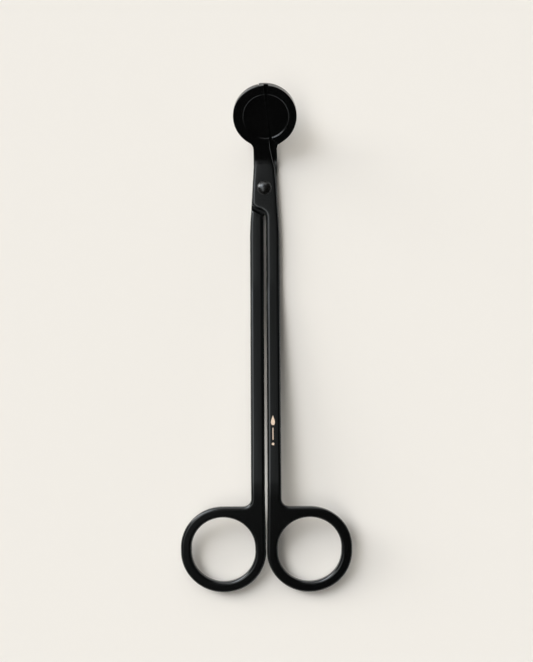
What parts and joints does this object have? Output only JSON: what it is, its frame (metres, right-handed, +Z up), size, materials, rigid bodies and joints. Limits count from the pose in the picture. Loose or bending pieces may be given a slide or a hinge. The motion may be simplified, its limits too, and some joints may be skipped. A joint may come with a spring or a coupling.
{
  "type": "wick trimmer",
  "caption": "Long angled scissors for trimming candle wicks, with finger rings, a riveted lap pivot and a tilted two-part cutting disc with a shallow dish.",
  "frame": {"origin": "under the middle of the whole closed tool, on the surface that it lies on", "axes": "+Y along the tool from the finger rings to the cutting disc, +Z up out of the surface that it lies on, +X to the right ring's side"},
  "size_m": [0.06, 0.1764, 0.0179],
  "materials": {
    "coat": "smooth satin black coating, slightly glossy on the rounded edges",
    "rivet": "black coated rivet, polished a little on its dome",
    "print": "pale rose-gold printed ornament, flat"
  },
  "bodies": {
    "back": {"back_lever": "coat", "pivot_rivet": "rivet"},
    "front": {"front_lever": "coat"}
  },
  "joints": [
    {"name": "pivot", "type": "hinge", "parent": "back", "child": "front", "pos_m": [0, 0.05438, 0], "axis": [0, 0, 1], "range_deg": [0, 40]}
  ]
}
